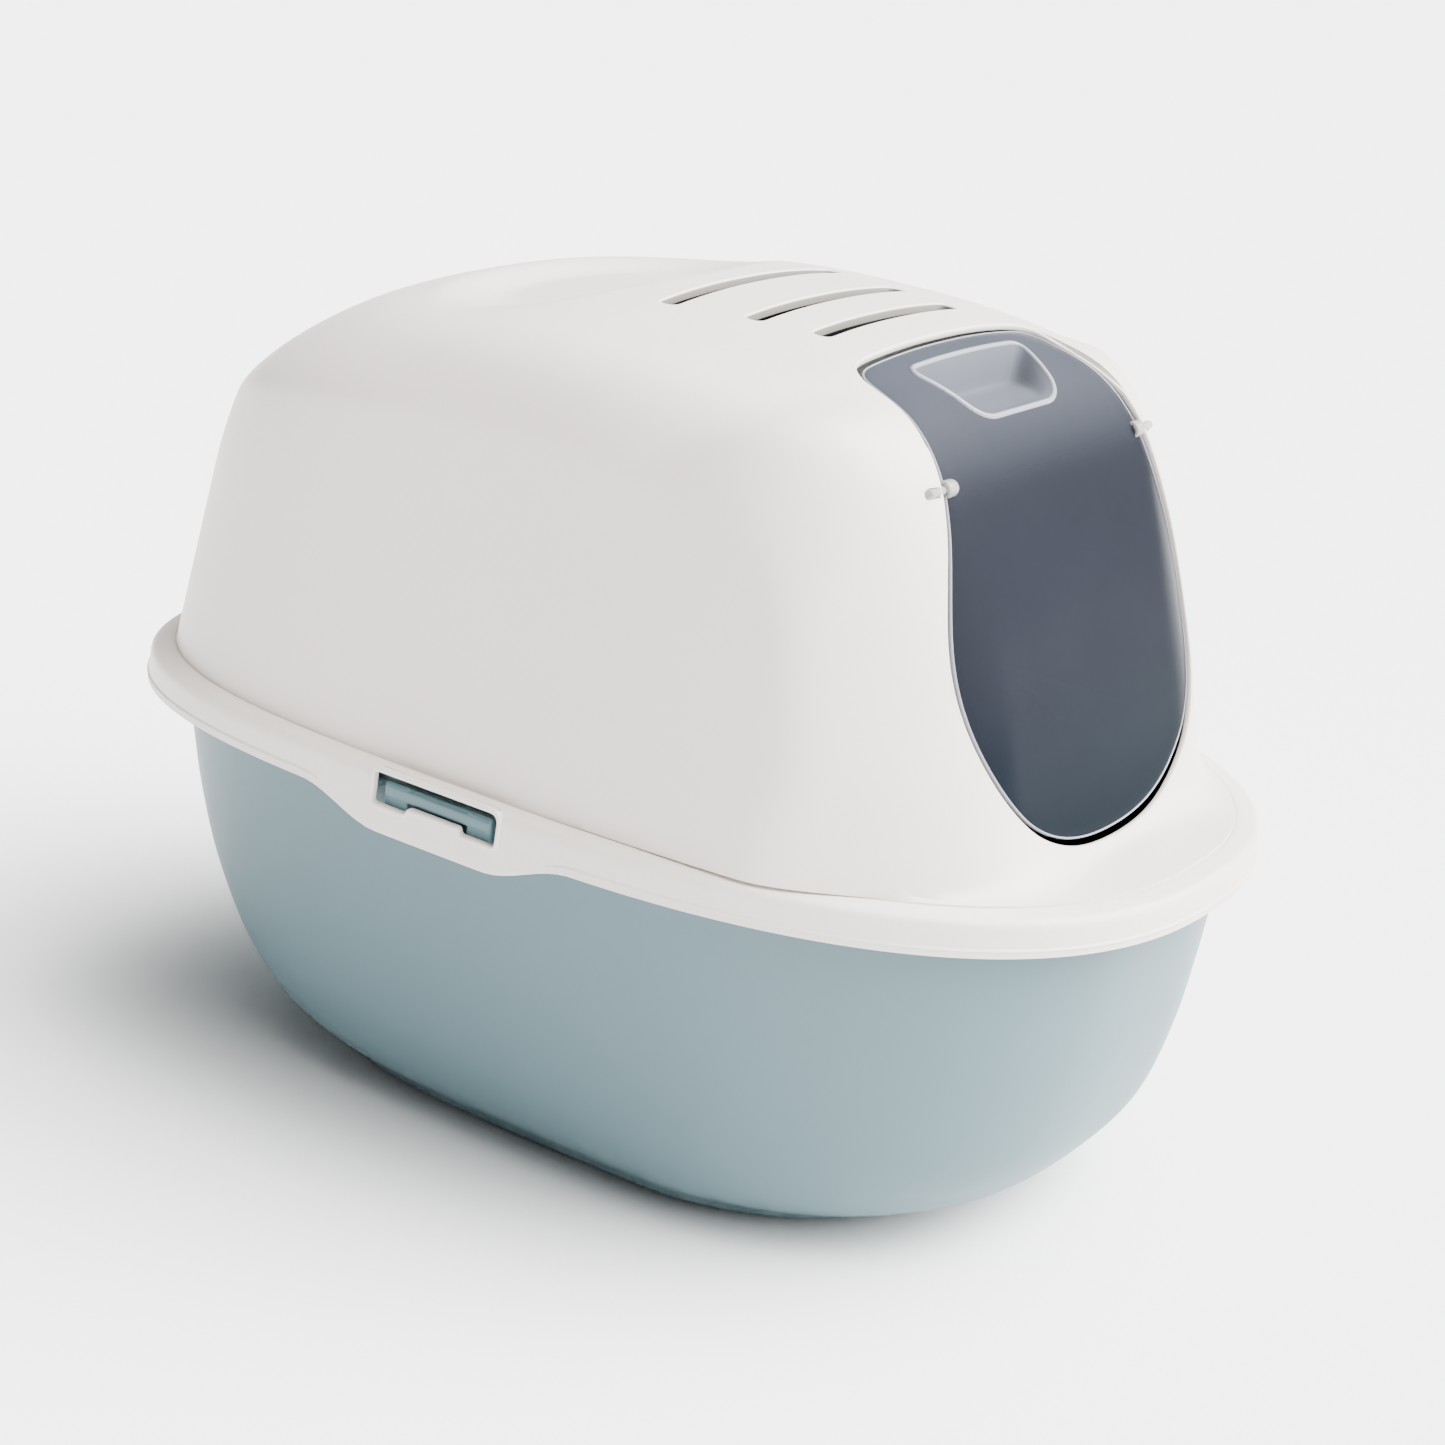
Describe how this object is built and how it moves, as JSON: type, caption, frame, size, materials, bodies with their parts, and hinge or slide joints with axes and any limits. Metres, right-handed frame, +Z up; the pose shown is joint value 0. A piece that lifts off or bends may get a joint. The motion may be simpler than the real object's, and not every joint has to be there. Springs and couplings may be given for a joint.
{
  "type": "cat litter box with hood",
  "caption": "Oblong litter tray under a lift-off domed hood with a swinging see-through entrance flap, roof vents and side catches.",
  "frame": {"origin": "middle of the tray's foot, on the floor, under the middle of the rim", "axes": "+Z up, +Y from the entrance towards the back, +X to the right of someone facing the entrance from the front and looking along +Y"},
  "size_m": [0.4, 0.54, 0.4045],
  "materials": {
    "tray_plastic": "satin moulded pale blue-green",
    "hood_plastic": "satin moulded warm white",
    "smoked_plastic": "clear smoked grey, polished",
    "pin_plastic": "milky white",
    "catch_plastic": "satin moulded blue-green",
    "filter_plastic": "satin white",
    "carbon_foam": "matt open foam"
  },
  "bodies": {
    "tray": {"base_tray": "tray_plastic"},
    "hood": {"hood_shell": "hood_plastic", "hinge_pin_left": "pin_plastic", "hinge_pin_right": "pin_plastic"},
    "flap": {"swing_flap": "smoked_plastic"},
    "catch_left": {"side_catch_left": "catch_plastic"},
    "catch_right": {"side_catch_right": "catch_plastic"},
    "filter": {"filter_holder": "filter_plastic", "filter_pad": "carbon_foam"}
  },
  "joints": [
    {"name": "hood_lift", "type": "slide", "parent": "tray", "child": "hood", "axis": [0, 0, 1], "range_m": [0, 0.12]},
    {"name": "flap_swing", "type": "hinge", "parent": "hood", "child": "flap", "pos_m": [0, -0.152, 0.357], "axis": [1, 0, 0], "range_deg": [-60, 80]},
    {"name": "catch_left_press", "type": "hinge", "parent": "tray", "child": "catch_left", "pos_m": [-0.1935, 0.022, 0.165], "axis": [0, 1, 0], "range_deg": [0, 8], "stiffness_Nm_per_rad": 0.5},
    {"name": "catch_right_press", "type": "hinge", "parent": "tray", "child": "catch_right", "pos_m": [0.1935, 0.022, 0.165], "axis": [0, -1, 0], "range_deg": [0, 8], "stiffness_Nm_per_rad": 0.5},
    {"name": "filter_drop", "type": "slide", "parent": "hood", "child": "filter", "axis": [0, 0, -1], "range_m": [0, 0.03]}
  ]
}
